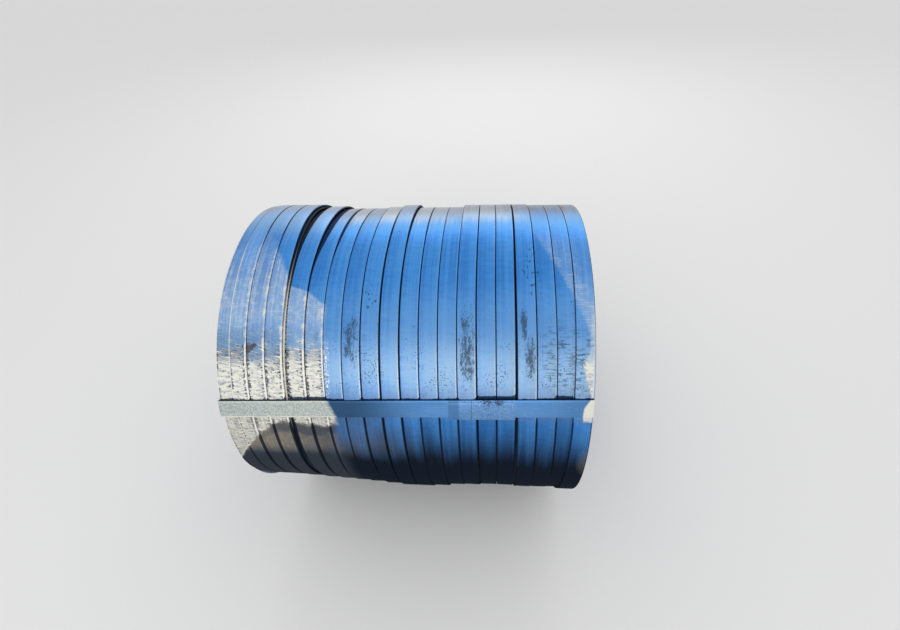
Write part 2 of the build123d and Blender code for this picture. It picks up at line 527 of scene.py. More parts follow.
def weld_bead(name, x, sizes, scale):
    """A small run of weld on the lap's upper edge."""
    obj = begin(name, bpy.ops.mesh.primitive_ico_sphere_add, subdivisions=3, radius=1)
    half_size = Vector((0.0046, 0.0026, 0.0006)) * scale
    upper_edge = sizes.strap_width / 2 - sizes.lap_shift
    top = AXIS_HEIGHT + REACH + sizes.strap_seat + sizes.strap_thickness * 1.35
    for vertex in obj.data.vertices:
        swell = 1 + 0.28 * noise.noise(vertex.co * 1.9 + Vector((x * 90, 0, 0)))
        vertex.co = (x + vertex.co.x * half_size.x * swell, upper_edge + vertex.co.y * half_size.y * swell,
                     top + vertex.co.z * half_size.z)
    return obj


# Finishes


class Wire:
    """A shader value. Maths on it adds the nodes that work it out."""

    def __init__(self, tree, socket):
        self.tree = tree
        self.socket = socket

    def node(self, kind, settings=None, inputs=None, output=0):
        """Adds a node of any type: its settings first, then the values or links of its sockets."""
        made = self.tree.nodes.new(kind)
        for key, value in (settings or {}).items():
            setattr(made, key, value)
        for key, value in (inputs or {}).items():
            if isinstance(value, Wire):
                self.tree.links.new(value.socket, made.inputs[key])
            else:
                made.inputs[key].default_value = value
        return Wire(self.tree, made.outputs[output])

    def math(self, operation, first, second=0.0):
        return self.node("ShaderNodeMath", {"operation": operation}, {0: first, 1: second})

    def __add__(self, other):
        return self.math("ADD", self, other)

    def __sub__(self, other):
        return self.math("SUBTRACT", self, other)

    def __mul__(self, other):
        return self.math("MULTIPLY", self, other)

    def __truediv__(self, other):
        return self.math("DIVIDE", self, other)

    def __radd__(self, other):
        return self.math("ADD", other, self)

    def __rsub__(self, other):
        return self.math("SUBTRACT", other, self)

    def __rmul__(self, other):
        return self.math("MULTIPLY", other, self)

    def __neg__(self):
        return self.math("MULTIPLY", self, -1)

    def size(self):
        """The value without its sign."""
        return self.math("ABSOLUTE", self)

    def least(self, other):
        return self.math("MINIMUM", self, other)

    def most(self, other):
        return self.math("MAXIMUM", self, other)

    def past(self, limit):
        """How far the value is over a limit, or 0."""
        return (self - limit).most(0)

    def sway(self, amount):
        """The value's swing about a half, times an amount."""
        return (self - 0.5) * amount

    def between(self, low, high):
        """A smooth step from 0 where the value is low to 1 where it is high."""
        return self.node("ShaderNodeMapRange", {"interpolation_type": "SMOOTHSTEP"},
                         {"Value": self, "From Min": low, "From Max": high})

    def span(self, start, full, still, end):
        """1 where the value is from full to still, with smooth steps to 0 at start and end."""
        return self.between(start, full) * self.between(end, still)

    def blend(self, first, second):
        """Mixes two colours by this value."""
        return self.node("ShaderNodeMix", {"data_type": "RGBA"}, {0: self, 6: first, 7: second}, 2)

    def grain(self, vector, scale, detail, rough):
        """Noise of about 0 to 1, by a vector."""
        return self.node("ShaderNodeTexNoise", None,
                         {"Vector": vector, "Scale": scale, "Detail": detail, "Roughness": rough})

    def vector(self, x=0.0, y=0.0, z=0.0):
        return self.node("ShaderNodeCombineXYZ", None, {0: x, 1: y, 2: z})

    def parts(self):
        """The three parts of a vector."""
        return [self.node("ShaderNodeSeparateXYZ", None, {0: self}, k) for k in range(3)]


class Finish:
    """A new metal material, the places on the coil that its pattern follows, and its colour so far."""

    def __init__(self, name):
        self.material = bpy.data.materials.new(name)
        self.material.use_nodes = True
        self.tree = self.material.node_tree
        self.shader = self.tree.nodes["Principled BSDF"]
        self.make = Wire(self.tree, None)
        self.place = self.make.node("ShaderNodeTexCoord", None, None, "Object")
        self.x, self.y, self.z = self.place.parts()
        self.share = self.x / REACH         # place along the coil, in shares of its radius
        self.rise = self.z - AXIS_HEIGHT
        self.front = -self.y
        self.angle = self.make.math("ARCTAN2", self.rise, self.front) * (180 / math.pi)
        self.colour = None

    def grain(self, scale, detail=3, rough=0.6):
        """Noise that is alike in all directions."""
        return self.make.grain(self.place, scale, detail, rough)

    def lengthwise(self, along, across, detail=3, rough=0.6):
        """Noise drawn out along the coil, with so many grains to the metre along and across."""
        drawn = self.make.vector(self.x * along, self.y * across, self.z * across)
        return self.make.grain(drawn, 1, detail, rough)

    def patch(self, share, angle, half_share, half_angle):
        """1 in the middle of an oval patch of the coil's outside and 0 at its rim."""
        dx = (self.x - share * REACH) / (half_share * REACH)
        da = (self.angle - angle) / half_angle
        return (1 - (dx * dx + da * da)).most(0)

    def patches(self, *ovals):
        """Several oval patches."""
        made = self.patch(*ovals[0])
        for oval in ovals[1:]:
            made = made.most(self.patch(*oval))
        return made

    def above_strap(self):
        """Metres up the coil's outside from the middle of the front strap."""
        return (self.angle - FRONT_ANGLE - self.x * (FRONT_SKEW / REACH)) * (math.pi / 180 * REACH)

    def coat(self, mask, paint):
        """Paints over the colour so far by a mask."""
        self.colour = mask.blend(self.colour, paint)

    def under(self, cover, colour):
        """Covers the metal by a mask with a dull coat, for dirt and for painted shade."""
        dull = self.make.node("ShaderNodeBsdfPrincipled", None, {
            "Base Color": colour, "Roughness": 0.85, "Specular IOR Level": 0.02})
        out = self.tree.nodes["Material Output"]
        mixed = self.make.node("ShaderNodeMixShader", None, {
            0: cover, 1: Wire(self.tree, self.shader.outputs[0]), 2: dull})
        self.tree.links.new(mixed.socket, out.inputs["Surface"])

    def relief(self, height, distance, strength):
        return self.make.node("ShaderNodeBump", None,
                              {"Strength": strength, "Distance": distance, "Height": height}, "Normal")

    def finish(self, **sockets):
        """Links the colour, and links or sets other sockets by their names with spaces as underscores."""
        for key, value in {"Base_Color": self.colour, **sockets}.items():
            socket = self.shader.inputs[key.replace("_", " ")]
            if isinstance(value, Wire):
                self.tree.links.new(value.socket, socket)
            else:
                socket.default_value = value
        return self.material


class StripFinish(Finish):
    """A finish that follows the wound strip, by the metres along and across it in its UV map."""

    def __init__(self, name):
        super().__init__(name)
        flat = self.make.node("ShaderNodeUVMap", {"uv_map": "strip"})
        self.along, self.across, _ = flat.parts()

    def strip_noise(self, along, across, detail=3, rough=0.6, slant=0):
        """Noise on the strip, with so many grains to the metre along and across it."""
        run = self.along * along
        if slant:
            run = run + self.across * slant
        return self.make.grain(self.make.vector(run, self.across * across), 1, detail, rough)

    def turn_noise(self, along, seed, detail=1, rough=0.5):
        """Noise along the strip only."""
        return self.make.grain(self.make.vector(self.along * along, seed), 1, detail, rough)


class GalvanisedStrip(StripFinish):
    """The outer strip's finish. Its steps run in order, and each paints over the ones before it."""

    def __init__(self, colours):
        super().__init__("galvanised_strip")
        self.colours = colours
        self.band = self.strip_noise(0.7, 120, 2, 0.5)
        self.tint = self.turn_noise(0.42, 3)
        self.turned = self.tint.between(0.38, 0.62)
        self.cloud = self.grain(6, 3, 0.55)
        self.brush = self.strip_noise(5, 900)
        self.faint = self.strip_noise(120, 30, 4, 0.65)
        self.fleck = self.grain(75, 3, 0.7).between(0.40, 0.66)
        self.ragged = self.grain(14, 4) - 0.5
        self.hair = self.strip_noise(420, 16, 3, 0.65).between(0.46, 0.66) * self.fleck
        self.streak = self.strip_noise(3, 210).between(0.38, 0.70)
        self.broken = self.turn_noise(7, 5, 3, 0.6).between(0.36, 0.60)
        self.upward = self.angle + self.band.sway(8)
        self.behind = self.angle.between(175, 125)
        # Dust with a painted sheen above the front strap, strongest from 41 to 57 degrees
        self.dust_and_sheen_zone = self.angle.between(74, 52) * 0.33 + self.angle.between(57, 41) * 0.67
        self.dust_and_sheen_zone = self.dust_and_sheen_zone * self.angle.between(28, 40)
        self.find_sunlit_scuffs()

    def find_sunlit_scuffs(self):
        """Where painted sunlight falls on the strip at both ends, with scuffs in it, and the painted shade
        and ground reflection below it on the left.
        """
        angle, share, ragged = self.angle, self.share, self.ragged
        # The border of the painted sunlight on the left runs up and away from the front strap in steps
        border = -0.42 - angle.least(67).past(62.5) * 0.024 - angle.least(69.2).past(67) * 0.055
        border = border - angle.least(88).past(71) * 0.0092 - angle.past(88) * 0.0135
        border = border + angle.between(29, 26) * 0.055
        # The foot is the lower edge of the painted sunlight on the left
        foot = 22.3 - (-share).past(0.755) * 70 + share.past(-0.44) * 20 - share.between(-0.64, -0.54) * 1.3
        self.over_foot = angle - foot + ragged * 8
        # Painted sunlight on the left, down to its foot
        left = (border - share + ragged * 0.08).between(-0.015, 0.02) * angle.between(98, 76)
        self.left = left * self.over_foot.between(-0.6, 0.8)
        # Painted shade with the ground's brown reflection, below the sunlight's foot on the left
        shaded_ground_reflection = share.between(-0.31, -0.41) * self.over_foot.between(1.5, 0.2)
        self.shaded_ground_reflection = shaded_ground_reflection * self.front.between(-0.2, 0.1)

        # Painted sunlight at the right end, in a wedge
        wedge = 1.018 - angle.least(44).past(35) * 0.0055 - angle.between(33, 31) * 0.035
        right = (share - wedge - angle.between(44, 50) * 0.045 + ragged * 0.05).between(0, 0.012)
        right = right * (angle + ragged * 6).between(25.4, 26.6) * angle.between(66, 56)
        right = right * (1 - (angle + ragged * 8).between(43, 48) * 0.6)
        # How far inside the thin painted sunlight high on the right
        self.inside = share - 0.75 + (angle - 88) * 0.0075 + ragged * 0.05

        self.past_gap = share.between(-0.66, -0.58)
        # Where the painted sunlight is full, below the thin sunlight high on the left
        self.full_sun = (angle + ragged * 8 - self.fleck * 5 - self.past_gap * 1.2).between(49.5, 40.5)
        self.sunlit_rub = (self.left * self.full_sun).most(right)

    def zinc(self):
        """Bands of light and dark blue that paint the sky's reflection, a film of dust and painted sheen
        above the front strap, and paler tones of painted reflection at the crest.
        """
        colours, angle, share = self.colours, self.angle, self.share
        # Painted light: each strip is lighter towards its right edge, the band from 42 to 74 degrees is
        # lighter and the crest darker; the noise is the zinc's own uneven tone
        light = (self.band.sway(0.9) + self.tint.sway(1.6) + self.cloud.sway(0.9) + self.brush.sway(1.1)
                 + self.faint.sway(0.7) + self.across * 9 + 0.5)
        light = light + angle.span(42, 51, 59, 74) * 0.28 - angle.between(94, 106) * 0.40
        self.colour = light.between(0, 1).blend(colours.deep_sky_reflection, colours.bright_sky_reflection)

        # Dust with a painted sheen, paler towards each strip's right edge
        dust_and_sheen_film = (self.cloud.sway(0.9) + self.band.sway(0.9) + self.tint.sway(0.8) + self.faint.sway(0.8)
                + self.across * 9 + share.between(0.10, 0.30) * 0.16 + 0.9)
        self.dust_and_sheen_film = (self.dust_and_sheen_zone * dust_and_sheen_film).most(0).least(1)
        self.coat(self.dust_and_sheen_film, colours.dust_and_sheen)

        # Painted reflection of the sky at the crest: a blue band, a bright band on the slack turns and a pale
        # crown
        slack = share.between(-0.42, -0.56)
        self.coat(angle.between(89, 98) * self.behind * 0.7, colours.crest_sky_reflection)
        crest = self.upward.between(84, 106) * self.behind * slack * (0.60 + self.brush.sway(0.3))
        self.coat(crest, colours.crest_highlight)
        crown = 0.20 + self.turned * 0.26 - share.between(0.55, 0.80) * 0.22 + self.brush.sway(0.30)
        crown = self.upward.span(96, 105, 116, 150) * (1 - slack) * crown
        self.coat(crown.most(0), colours.pale_lit_zinc)
        self.coat(self.above_strap().between(0.060, 0.024) * angle.between(24, 28) * 0.20, colours.earth_and_ground_reflection)

    def scratches(self):
        """Fine dark scratches across the strip, low on the front and on the last turns."""
        angle, share = self.angle, self.share
        worn = (angle.between(60, 44) * 0.7).most(share.between(0.76, 0.88) * angle.between(72, 58))
        worn = worn * angle.between(12, 22)
        self.cut = self.strip_noise(520, 10, 2).between(0.54, 0.66) * worn * self.fleck
        nick = self.strip_noise(210, 46, 2).between(0.50, 0.58) * (0.4 + self.fleck * 0.6)
        nick = nick * share.between(0.73, 0.82) * angle.span(33, 40, 50, 60)
        self.coat((self.cut * 0.55).most(nick * 0.80), self.colours.scale_marks)

    def thin_sunlit_scuffs(self):
        """Thin painted sunlight with hairs and blotches, high on the left and on the right, with a band of
        painted shade on the left and a painted sheen on the right.
        """
        colours, angle, hair = self.colours, self.angle, self.hair
        sunlit_bare = self.left * (1 - self.full_sun)
        side = self.inside.between(0, 0.03) * (1 - self.inside.between(0.04, 0.24) * 0.7)
        side = side * angle.span(40, 56, 84, 96)
        thin = 0.14 + self.streak * (0.12 + angle.between(50, 60) * 0.18) + self.fleck * 0.16
        thin = thin + hair * angle.span(50, 57, 60, 74) * 0.55 + angle.span(51, 60, 66, 78) * 0.14
        self.coat(sunlit_bare.most(side * 0.55) * thin, colours.wear_and_highlight)
        # Painted shade across the painted sunlight on the left
        dusk = self.left * angle.span(42, 47, 51, 57) * (0.32 - hair * 0.3 - self.past_gap * 0.14)
        self.coat(dusk.most(0), colours.strap_shade)
        blotch = self.strip_noise(26, 75, 5, 0.72).between(0.53, 0.66) * sunlit_bare * angle.span(54, 60, 74, 86)
        self.coat(blotch * (0.30 + hair * 0.30), colours.pale_lit_zinc)
        sheen = self.inside.span(0, 0.02, 0.04, 0.16) * angle.span(50, 58, 78, 86)
        self.coat(sheen * hair * 0.90, colours.wear_and_highlight)

    def sunlit_scuffs(self):
        """Painted sunlight round the front strap with chalky scuffs in it and painted shade at its top, with
        dark dashes beside the seams and bright lines.
        """
        colours, angle, across = self.colours, self.angle, self.across
        chalk = self.strip_noise(150, 40, 4, 0.7).between(0.36, 0.58)
        chalk = chalk.blend(colours.chalky_lit_zinc, colours.pale_lit_zinc)
        # Painted shade at the top of the full sunlight on the left
        shade = angle.between(41, 48) * self.left * (0.80 - self.hair * 0.5 - self.past_gap * 0.35)
        chalk = shade.most(0).blend(chalk, colours.strap_shade)
        chalk = (angle.between(28, 24) * (1 - self.streak) * 0.42).blend(chalk, colours.earth_and_ground_reflection)
        self.coat(self.sunlit_rub * 0.97, chalk)
        sides = across.between(-0.012, -0.017).most(across.between(0.007, 0.013))
        dash = (self.strip_noise(210, 90) + sides * 0.125).between(0.595, 0.655)
        self.dash = dash * self.left * self.full_sun * (0.8 + angle.between(26, 33) * 0.2)
        self.coat(self.dash * 0.88, colours.scale_marks)
        line = self.strip_noise(330, 22, slant=-70).between(0.52, 0.64) * self.left * (1 - self.dash)
        self.coat(line * (self.full_sun * 0.85 + angle.between(56, 50) * 0.14), colours.sunlit_bare_metal)

    def marks(self):
        """Mottled smudges, specks, one rusty mark, and a painted reflection behind the crest, beige and
        streaked with brown.
        """
        colours, angle, share = self.colours, self.angle, self.share
        blot = self.strip_noise(30, 70, 5, 0.68)
        smear = self.strip_noise(190, 230, 3, 0.7, slant=120)
        smudge = self.patches(*SMUDGES).most(self.patches(*FAINT_SMUDGES) * 0.5)
        self.smudge = (smudge * 0.95 + blot.sway(2.3) + smear.sway(1.7) - 0.52).between(0, 0.55)
        herd = self.grain(22, 2, 0.5).between(0.46, 0.62)
        spots = (self.strip_noise(210, 250) + self.dust_and_sheen_zone * herd * 0.15).between(0.69, 0.75)
        drops = self.strip_noise(105, 120, 2, 0.5) + self.patches(*DROPS).between(0, 0.5) * 0.14
        spots = spots.most(drops.between(0.735, 0.775))
        self.coat((self.smudge * 0.78).most(spots * 0.75), colours.scale_marks)
        rust = (self.patch(*RUST_MARK) * 0.9 + self.fleck * 0.6 + blot * 1.4 - 1.35).between(0, 0.30)
        self.coat(rust * 0.85, colours.rust)

        # A painted reflection behind the crest: beige, streaked with brown
        crest = (angle + self.cloud.sway(18)).between(103, 112)
        crest = crest * (angle + self.band.sway(26)).between(150, 112)
        self.coat(crest * (0.20 + self.fleck * 0.30 + self.streak * 0.20), colours.beige_crest_reflection)
        brown_crest_reflection = 0.15 + share.between(0.12, 0.40) * 0.16 + share.between(0.50, 0.70) * 0.16
        brown_crest_reflection = brown_crest_reflection * self.upward.span(103, 113, 125, 160)
        self.coat(brown_crest_reflection * (0.35 + self.streak * 0.7 + self.fleck * 0.6), colours.rust)

    def edge_highlights(self):
        """Painted highlights on the rolled edges, most of all in the painted sunlight on the left."""
        colours, angle, share, across = self.colours, self.angle, self.share, self.across
        near = angle.span(29, 33, 37, 55) * (0.15 + self.broken * 0.35 + self.turned * 0.35)
        rim = (across + self.sunlit_rub * 0.0012).between(0.0158, 0.0172) * across.between(0.0195, 0.0187)
        rim = rim * (self.broken * 0.12 + near + self.sunlit_rub * 0.8 + self.left * (0.26 + self.fleck * 0.34))
        self.first = across.between(-0.0172, -0.0182) * share.between(-0.90, -0.93) * self.left * 1.2
        mottled = across.between(0.0112, 0.0160) * self.left * (1 - self.full_sun) * self.fleck
        self.coat(mottled * angle.between(88, 72) * 0.75, colours.sunlit_bare_metal)
        shine = self.left.blend(colours.wear_and_highlight, colours.sunlit_bare_metal)
        self.coat(rim.most(self.first).least(1), shine)
        # Bright lines of painted sunlight on scratches
        stray = self.strip_noise(190, 260, 3, 0.65).between(0.50, 0.60)
        stray = stray * share.span(-0.425, -0.415, -0.395, -0.375) * angle.span(31, 35, 47, 53)
        self.coat(stray * 0.85, colours.sunlit_bare_metal)

    def seams(self):
        """Dirt and painted shade in the seams, flakes beside them, and painted shade beside the turns that
        stand high at the top.
        """
        colours, angle, share, across = self.colours, self.angle, self.share, self.across
        flake = self.strip_noise(260, 420, 3, 0.65).between(0.54, 0.62)
        flake = flake * across.size().between(0.0155, 0.0185) * self.dust_and_sheen_zone * self.broken
        # Painted shade widens the seams below the front strap, low on the left and at the top
        wide = angle.between(27.5, 25) * (1 - self.left) * 0.0013
        wide = wide + self.shaded_ground_reflection * (0.0012 + share.between(-0.84, -0.88) * 0.0020)
        wide = wide + angle.between(84, 96) * share.between(0.25, 0.05) * 0.0007
        wide = wide + self.turned * 0.0004 + 0.0002
        self.seam = (across.size() + wide).between(0.0188, 0.0198) * (1 - self.first)
        dark = self.seam * (0.85 - self.sunlit_rub * 0.10 - self.left * 0.55)
        self.coat(dark.most(flake * 0.8), colours.seam_shade)
        high = share.span(-0.60, -0.57, -0.46, -0.43) * 0.0125
        high = high + share.span(-0.46, -0.43, -0.34, -0.30) * 0.0055
        cast = (high * angle.between(70, 97) - across).between(0.0188, 0.0200)
        self.cast = cast * angle.between(66, 72) * self.behind
        self.coat(self.cast * 0.9, colours.seam_shade)

    def grime_and_shade(self):
        """Painted shade at the front strap's upper edge and below the strap, painted shade towards the ground
        on all sides, streaks, mud, and painted shade and ground reflection low on the left.
        """
        colours, angle, share = self.colours, self.angle, self.share
        # Painted shade along the front strap's upper edge, widest on the turns that the strap doesn't touch
        above = self.above_strap()
        strap_edge_shade = above - self.patches(*CLEAR_TURNS).between(0, 0.2) * 0.0040 - self.broken * 0.0012
        strap_edge_shade = strap_edge_shade + self.patches(*TOUCHED_TURNS).between(0, 0.3) * 0.0014 - self.fleck.sway(0.0016)
        strap_edge_shade = strap_edge_shade - self.across.size().between(0.0162, 0.0196) * self.fleck * 0.0050
        strap_edge_shade = strap_edge_shade.between(0.0232, 0.0218) * above.between(0.016, 0.019)

        # Painted shade, darker towards the ground on all sides
        low = self.rise / REACH + self.strip_noise(2.5, 36).sway(0.24) + self.turn_noise(0.9, 8).sway(0.42)
        low = low + share.between(0.45, 0.75) * 0.015 - self.patch(*DARK_TURN) * 0.10
        low = low.between(0.61, 0.09) * (1 - self.left * 0.85)
        smears = self.strip_noise(15, 120, 4, 0.68).between(0.48, 0.72) * angle.span(2, 12, 25, 28)
        smears = smears * (0.20 + share.between(0.30, -0.30) * 0.40)
        # Painted shade below the front strap, left of its middle
        shade_below_strap = share.between(0.22, -0.25) * angle.span(4, 16, 27, 29) * (1 - self.left)
        mud = self.patch(*MUD)
        low = low.most(self.shaded_ground_reflection * 0.96).most(shade_below_strap * (0.58 + angle.between(22, 14) * 0.16))
        low = low.most(smears * (1 - self.left)).most(mud * 0.8)

        # How much brown of the painted ground reflection shows, darker in a band of painted shadow just below
        # the sunlight's foot
        ground_tone = 1 - self.over_foot.between(-4, -2) * share.between(-0.86, -0.70) * 0.65
        ground_tone = ground_tone * angle.between(7, 14) * (0.66 + self.fleck * 0.30 + self.streak * 0.30)
        ground_tone = ground_tone * (1 - share.between(-0.72, -0.45) * 0.5)
        dirt = (self.shaded_ground_reflection * 0.45).blend(colours.grime_and_shade, colours.thin_dirt_and_shade)
        dirt = (self.shaded_ground_reflection * ground_tone).blend(dirt, colours.earth_and_ground_reflection)
        dirt = (mud * 0.28).blend(dirt, colours.earth_and_ground_reflection)
        dirt = (shade_below_strap.most(smears * 0.7) * (1 - self.shaded_ground_reflection * 0.7)).blend(dirt, colours.thin_dirt_and_shade)
        dirt = strap_edge_shade.most(self.cast).most(self.seam * (1 - low)).blend(dirt, colours.seam_shade)
        dirt = (self.seam * low * 0.9).blend(dirt, colours.grime_and_shade)
        cover = (low * 0.995).most(self.seam * (0.4 - self.left * 0.36))
        self.under(cover.most(strap_edge_shade * 0.92).most(self.cast * 0.75), dirt)

    def finished(self):
        """The material, with its gloss and relief."""
        rough = (0.34 + self.band.sway(0.12) + self.brush.sway(0.16) + self.sunlit_rub * 0.18 + self.smudge * 0.2
                 + self.dust_and_sheen_film * 0.06)
        relief = self.band * 0.25 + self.brush * 0.25 - self.cut * 0.6 + self.hair * self.sunlit_rub * 0.7
        return self.finish(Metallic=0.88 - self.sunlit_rub * 0.42 - self.smudge * 0.15 - self.dust_and_sheen_film * 0.25,
                           Roughness=rough, Normal=self.relief(relief - self.dash * 0.5, 0.00010, 0.5))


def paint_strip(colours):
    """Galvanised strip: blue bands of painted sky reflection, painted highlights on the edges, dust with
    painted sheen, painted sunlight with scuffs, dark marks, dirt and painted shade.
    """
    strip = GalvanisedStrip(colours)
    strip.zinc()
    strip.scratches()
    strip.thin_sunlit_scuffs()
    strip.sunlit_scuffs()
    strip.marks()
    strip.edge_highlights()
    strip.seams()
    strip.grime_and_shade()
    return strip.finished()


def paint_layers(colours):
    """Strip edges on the coil's ends and the turns in its bore: plain zinc with painted sky blue, uneven from
    layer to layer, and painted shade towards the bottom.
    """
    f = StripFinish("layer_edges")
    layer = f.strip_noise(0.8, 250, 1, 0.5)
    streak = f.strip_noise(3, 900)
    nick = f.strip_noise(60, 240).between(0.56, 0.68)
    light = layer.sway(1.6) + streak.sway(0.9) + 0.5
    f.colour = light.between(0, 1).blend(colours.deep_sky_reflection, colours.edge_steel)
    f.coat(0.55 + layer * 0.3, colours.edge_steel)
    f.coat(nick * 0.5, colours.scale_marks)
    # Painted shade towards the bottom of the ends and bore
    low = (f.rise / REACH + streak.sway(0.3)).between(0, -1)
    f.under(low * 0.7, colours.grime_and_shade)
    return f.finish(Metallic=0.86 - nick * 0.3, Roughness=0.40 + streak.sway(0.3) + nick * 0.2,
                    Normal=f.relief(streak * 0.5 - nick, 0.00015, 0.6))


def paint_gap(colours):
    """The layer that shows in the gaps: dark with dirt and painted shade, with a painted highlight on its
    rim, and painted sunlight on the left.
    """
    f = StripFinish("gap_grime")
    streak = f.strip_noise(2, 300)
    f.colour = (streak.between(0.40, 0.75) * 0.12).blend(colours.grime_and_shade, colours.deep_sky_reflection)
    # Painted highlight on the rim near the top, and painted sunlight on it on the left
    rim = f.across.span(0.0172, 0.0182, 0.0188, 0.0197)
    f.coat(rim * f.angle.between(60, 110) * 0.12, colours.dust_and_sheen)
    sunlit_rub = rim * f.angle.span(18, 30, 60, 88) * f.share.between(-0.3, -0.5)
    f.coat(sunlit_rub * (0.5 + streak * 0.6), colours.pale_lit_zinc)
    # Painted sunlight on the gap's floor on the left
    chips = f.strip_noise(210, 90).between(0.44, 0.54)
    shelf = f.across.span(0.0148, 0.0156, 0.0194, 0.0199)
    sunlit_gap_floor = f.angle.span(28.5, 30.5, 52, 77) * f.share.between(-0.44, -0.48)
    f.coat(sunlit_gap_floor * (shelf * 0.75 + chips * 0.45).least(0.97), colours.pale_lit_zinc)
    return f.finish(Metallic=0.4 - sunlit_gap_floor * 0.2, Roughness=0.6 + streak.sway(0.3), Specular_IOR_Level=0.1)


def paint_strap(colours):
    """Binding band: plainer than the strip, blue with painted sky reflection, with painted shade left of its
    middle, painted sunlight at its ends, and sooty and speckled round its lap.
    """
    f = Finish("strap_steel")
    share, across = f.share, f.above_strap()
    fine = f.lengthwise(14, 260, 4)
    scratch = f.lengthwise(55, 900, 3, 0.65)
    cloud = f.grain(16, 4)
    grit = f.grain(210, 3, 0.7)
    mottle = f.grain(330, 4, 0.75)
    shade = (fine.sway(0.9) + cloud.sway(1.0) + scratch.sway(0.9) + 0.5).between(0, 1)
    f.colour = (shade * 0.45).blend(colours.strap_sky_reflection, colours.deep_sky_reflection)
    f.coat(grit.between(0.60, 0.72) * 0.30, colours.burnt)
    f.coat(scratch.between(0.58, 0.72) * 0.22, colours.wear_and_highlight)
    outer = (f.rise * f.rise + f.front * f.front).between((REACH - 0.012) ** 2, (REACH - 0.003) ** 2)
    front = f.angle.span(0, 15, 45, 60) * outer
    # Painted shade left of the strap's middle, near its right end and along its upper edge
    dim = (share.between(0.22, -0.30) * 0.87).most(share.between(0.70, 1.0) * 0.25)
    dim = dim.most(across.between(0.004, 0.018) * share.between(0.34, 0.20) * 0.24)
    f.coat(dim * front, colours.strap_shade)

    # Painted sunlight at the left end of the front strap, with bright and dull mottle, and at its right end
    sunlit_bare = (-0.386 - share - across * 0.9 + cloud.sway(0.05)).between(-0.014, 0.014) * front
    f.coat(sunlit_bare * 0.94, colours.strap_sunlit)
    bright = (mottle.between(0.50, 0.60) * 0.55).most(across.between(0.0160, 0.0185) * 0.45)
    bright = bright.most(scratch.between(0.54, 0.66) * 0.55).most(across.between(-0.0155, -0.0180) * 0.85)
    f.coat(bright * sunlit_bare, colours.pale_lit_zinc)
    dull = (mottle.between(0.49, 0.40) * 0.24).most(fine.between(0.50, 0.66) * 0.20)
    f.coat(dull * sunlit_bare, colours.strap_shade)
    sunlit_rub = (share - 0.983 - across.most(0) * 1.4 + cloud.sway(0.05)).between(0, 0.012) * front
    f.coat(sunlit_rub * 0.92, colours.pale_lit_zinc)

    # The lap: painted shade on its smooth end and lower half, a line where the lower end stops, dark speckle,
    # a painted glint and soot at the welds
    on_lap = f.angle.span(10, 18, 42, 50)
    f.coat(share.span(0.268, 0.274, 0.324, 0.334) * on_lap * 0.36, colours.strap_shade)
    lap = share.span(0.322, 0.334, 0.630, 0.640) * on_lap
    f.coat(lap * 0.07, colours.wear_and_highlight)
    f.coat(lap * across.between(0.004, -0.014) * 0.16, colours.strap_shade)
    speck = mottle.between(0.54, 0.64) * lap * (0.45 + share.span(0.33, 0.40, 0.48, 0.58) * 0.4)
    f.coat(speck * 0.75, colours.burnt)
    glint = f.grain(420, 2).between(0.58, 0.68) * lap
    f.coat(glint * 0.35, colours.wear_and_highlight)
    stop = (share - 0.396).size().between(0.0026, 0.0012) * lap
    soot = f.patches(*WELD_SOOT) * 0.9 + mottle.sway(4.0) + grit.sway(1.2)
    soot = soot.between(0.40, 1.10) * lap
    f.coat((soot * 0.80).most(stop * 0.5), colours.burnt)
    return f.finish(Metallic=0.86 - sunlit_bare * 0.25 - sunlit_rub * 0.4 - soot * 0.4,
                    Roughness=0.36 + fine.sway(0.2) + sunlit_bare * 0.10 + speck * 0.15 + soot * 0.2,
                    Normal=f.relief(fine * 0.4 + glint * 0.5 - speck * 0.5 + cloud * 0.4, 0.0002, 0.5))


def paint_weld(colours):
    """Sooty weld metal."""
    f = Finish("weld_metal")
    grit = f.grain(420)
    f.colour = grit.between(0.35, 0.70).blend(colours.burnt, colours.strap_sky_reflection)
    return f.finish(Metallic=0.7, Roughness=0.45 + grit.sway(0.3), Normal=f.relief(grit, 0.0003, 0.6))


# Operators


class COIL_OT_wound_strip(bpy.types.Operator):
    """Winds the strip: the outer helix, the edge in the wide gap and the layers below."""

    bl_idname = "coil.wound_strip"
    bl_label = "Wind the strip"

    def execute(self, context):
        sizes, colours = context.scene.coil_sizes, context.scene.coil_colours
        outer = wind_outer_strip(sizes)
        under = wind_under_strip(sizes)
        inner = wind_inner_layers(sizes)
        strip, edges, gap = paint_strip(colours), paint_layers(colours), paint_gap(colours)
        outer.data.materials.append(strip)
        under.data.materials.append(gap)
        inner.data.materials.append(edges)
        inner.data.materials.append(gap)
        # The outside of the inner layers shows in the gaps
        outside = BORE_RADIUS + (sizes.layers - 1) * sizes.layer_pitch - 12 * MM
        for face in inner.data.polygons:
            off_axis = Vector((0, face.center.y, face.center.z - AXIS_HEIGHT)).length
            face.material_index = int(off_axis > outside and abs(face.normal.x) < 0.3
                                      and abs(face.center.x) < HALF_LENGTH * 0.9)
        pick(outer, under, inner)
        bpy.ops.object.join()
        outer.name = outer.data.name = "coil_of_strip"
        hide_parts("wound_strip")
        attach(outer, "root")
        return {"FINISHED"}


